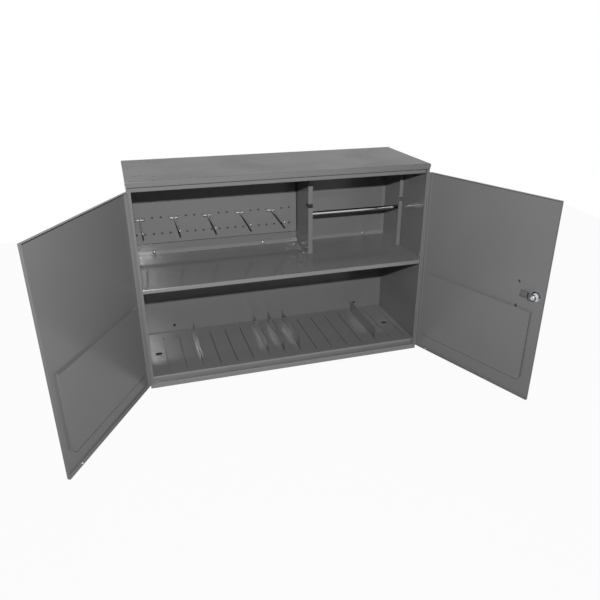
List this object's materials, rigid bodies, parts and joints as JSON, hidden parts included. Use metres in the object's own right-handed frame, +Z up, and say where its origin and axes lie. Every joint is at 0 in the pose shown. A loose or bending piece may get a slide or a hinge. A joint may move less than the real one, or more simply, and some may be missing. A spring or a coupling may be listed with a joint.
{
  "type": "wall-mounted storage cabinet",
  "caption": "Steel wall cabinet with two hinged doors and pockets, a shelf, a peg panel with hooks, a paper roll holder and a slotted tray with loose dividers.",
  "frame": {"origin": "centre of the four wall bolts, on the back face", "axes": "+X to the right along the wall, +Y into the wall, +Z up; the doors open towards -Y"},
  "size_m": [1.2119, 0.6899, 0.6],
  "materials": {
    "paint": "semi-gloss powder coat",
    "chrome": "bright plated",
    "zinc": "zinc plated",
    "spring_steel": "plain wire",
    "black_zinc": "black zinc"
  },
  "bodies": {
    "case": {"body_wrap": "paint", "top_lid": "paint", "floor_pan": "paint", "top_stop": "paint", "bottom_stop": "paint", "shelf": "paint", "shelf_rivets": "zinc", "shelf_screws": "zinc", "peg_panel": "paint", "roll_bracket_left": "paint", "roll_bracket_right": "paint", "bracket_rivet": "zinc", "slotted_tray": "paint", "hinge_case_leaf_left": "paint", "hinge_case_leaf_right": "paint", "hinge_pin_left": "zinc", "hinge_pin_right": "zinc"},
    "left_door": {"door_left": "paint", "pocket_left": "paint", "hinge_door_leaf_left": "paint"},
    "right_door": {"door_right": "paint", "pocket_right": "paint", "hinge_door_leaf_right": "paint", "lock_housing": "chrome", "lock_nut": "zinc", "pull_handle": "chrome", "handle_screws": "zinc"},
    "lock": {"lock_plug": "chrome", "lock_cam": "black_zinc", "cam_bolt": "zinc"},
    "roller": {"rod_tube": "chrome", "rod_end_plug": "zinc", "rod_spring": "spring_steel"},
    "plunger": {"rod_plunger": "zinc"},
    "hook_1": {"peg_hook_1": "chrome"},
    "loose_divider_1": {"divider_1": "paint"},
    "hook_2": {"peg_hook_2": "chrome"},
    "loose_divider_2": {"divider_2": "paint"},
    "hook_3": {"peg_hook_3": "chrome"},
    "loose_divider_3": {"divider_3": "paint"},
    "hook_4": {"peg_hook_4": "chrome"},
    "loose_divider_4": {"divider_4": "paint"},
    "hook_5": {"peg_hook_5": "chrome"},
    "loose_divider_5": {"divider_5": "paint"}
  },
  "joints": [
    {"name": "door_left_hinge", "type": "hinge", "parent": "case", "child": "left_door", "pos_m": [-0.4215, -0.2973, 0], "axis": [0, 0, 1], "range_deg": [-60.4, 119.6]},
    {"name": "door_right_hinge", "type": "hinge", "parent": "case", "child": "right_door", "pos_m": [0.4215, -0.2973, 0], "axis": [0, 0, 1], "range_deg": [-110.2, 69.8]},
    {"name": "lock_turn", "type": "hinge", "parent": "right_door", "child": "lock", "pos_m": [0.55634, -0.66378, 0.0175], "axis": [0.9385, 0.3453, 0], "range_deg": [0, 180]},
    {"name": "hook_1_tilt", "type": "hinge", "parent": "case", "child": "hook_1", "pos_m": [-0.3922, -0.0114, 0.127], "axis": [-1, 0, 0], "range_deg": [0, 25]},
    {"name": "hook_2_tilt", "type": "hinge", "parent": "case", "child": "hook_2", "pos_m": [-0.2906, -0.0114, 0.127], "axis": [-1, 0, 0], "range_deg": [0, 25]},
    {"name": "hook_3_tilt", "type": "hinge", "parent": "case", "child": "hook_3", "pos_m": [-0.189, -0.0114, 0.127], "axis": [-1, 0, 0], "range_deg": [0, 25]},
    {"name": "hook_4_tilt", "type": "hinge", "parent": "case", "child": "hook_4", "pos_m": [-0.0874, -0.0114, 0.127], "axis": [-1, 0, 0], "range_deg": [0, 25]},
    {"name": "hook_5_tilt", "type": "hinge", "parent": "case", "child": "hook_5", "pos_m": [0.0142, -0.0114, 0.127], "axis": [-1, 0, 0], "range_deg": [0, 25]},
    {"name": "divider_1_lift", "type": "slide", "parent": "case", "child": "loose_divider_1", "axis": [0, 0, 1], "range_m": [0, 0.06]},
    {"name": "divider_2_lift", "type": "slide", "parent": "case", "child": "loose_divider_2", "axis": [0, 0, 1], "range_m": [0, 0.06]},
    {"name": "divider_3_lift", "type": "slide", "parent": "case", "child": "loose_divider_3", "axis": [0, 0, 1], "range_m": [0, 0.06]},
    {"name": "divider_4_lift", "type": "slide", "parent": "case", "child": "loose_divider_4", "axis": [0, 0, 1], "range_m": [0, 0.06]},
    {"name": "divider_5_lift", "type": "slide", "parent": "case", "child": "loose_divider_5", "axis": [0, 0, 1], "range_m": [0, 0.06]},
    {"name": "roller_spin", "type": "hinge", "parent": "case", "child": "roller", "pos_m": [0.2625, -0.113, 0.129], "axis": [1, 0, 0], "continuous": true},
    {"name": "plunger_push", "type": "slide", "parent": "roller", "child": "plunger", "axis": [-1, 0, 0], "range_m": [0, 0.004], "stiffness_N_per_m": 300, "springref_m": -0.012, "deforming": ["rod_spring"]}
  ]
}
